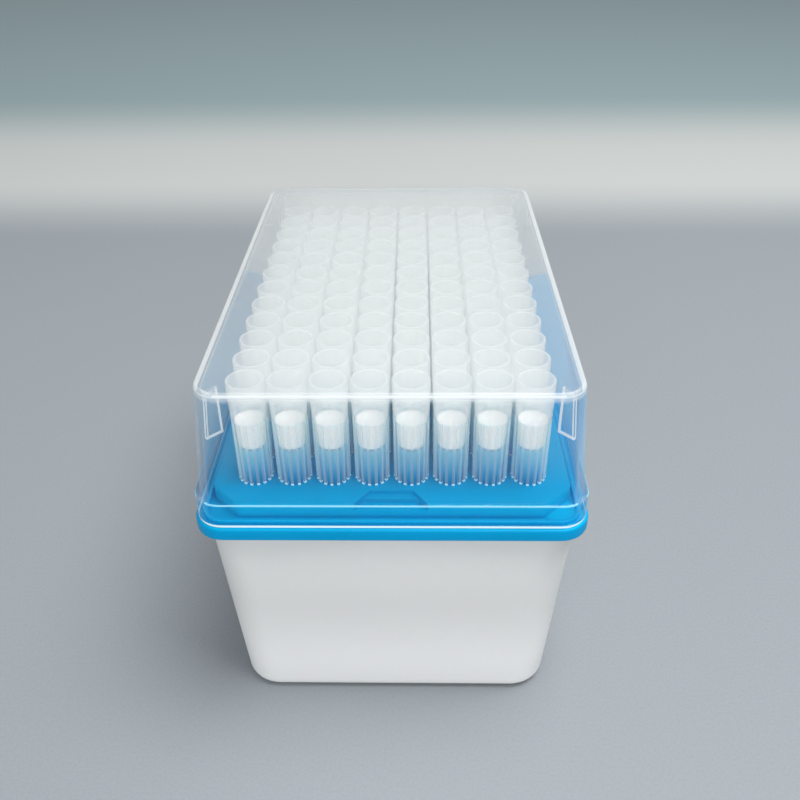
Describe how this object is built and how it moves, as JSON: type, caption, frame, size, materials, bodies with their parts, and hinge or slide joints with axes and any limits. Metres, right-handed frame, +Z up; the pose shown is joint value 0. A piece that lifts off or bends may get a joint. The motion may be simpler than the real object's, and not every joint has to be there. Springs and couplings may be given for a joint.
{
  "type": "box of pipette tips",
  "caption": "Lidded box of filter pipette tips: white tub, blue perforated rack that caps it, clear ribbed tips standing in the rack with white filters, and a clear stepped lid.",
  "frame": {"origin": "centre of the tub's underside", "axes": "+Z up; the box's long side runs along Y, with eight tips across X, and the first column of tips at -Y"},
  "size_m": [0.089, 0.1284, 0.0936],
  "materials": {
    "tub_white": "satin",
    "rack_blue": "semi-gloss",
    "tip_clear": "clear, slightly milky",
    "filter_white": "porous",
    "lid_clear": "clear, polished, slightly milky"
  },
  "bodies": {
    "base": {"base": "tub_white"},
    "rack": {"rack": "rack_blue", "tips_column_01": "tip_clear", "tips_column_02": "tip_clear", "tips_column_03": "tip_clear", "tips_column_04": "tip_clear", "tips_column_05": "tip_clear", "tips_column_06": "tip_clear", "tips_column_07": "tip_clear", "tips_column_08": "tip_clear", "tips_column_09": "tip_clear", "tips_column_10": "tip_clear", "tips_column_11": "tip_clear", "tips_column_12": "tip_clear", "filters_column_01": "filter_white", "filters_column_02": "filter_white", "filters_column_03": "filter_white", "filters_column_04": "filter_white", "filters_column_05": "filter_white", "filters_column_06": "filter_white", "filters_column_07": "filter_white", "filters_column_08": "filter_white", "filters_column_09": "filter_white", "filters_column_10": "filter_white", "filters_column_11": "filter_white", "filters_column_12": "filter_white"},
    "lid": {"lid": "lid_clear"}
  },
  "joints": [
    {"name": "rack_lift", "type": "slide", "parent": "base", "child": "rack", "axis": [0, 0, 1], "range_m": [0, 0.06]},
    {"name": "lid_lift", "type": "slide", "parent": "rack", "child": "lid", "axis": [0, 0, 1], "range_m": [0, 0.06]}
  ]
}
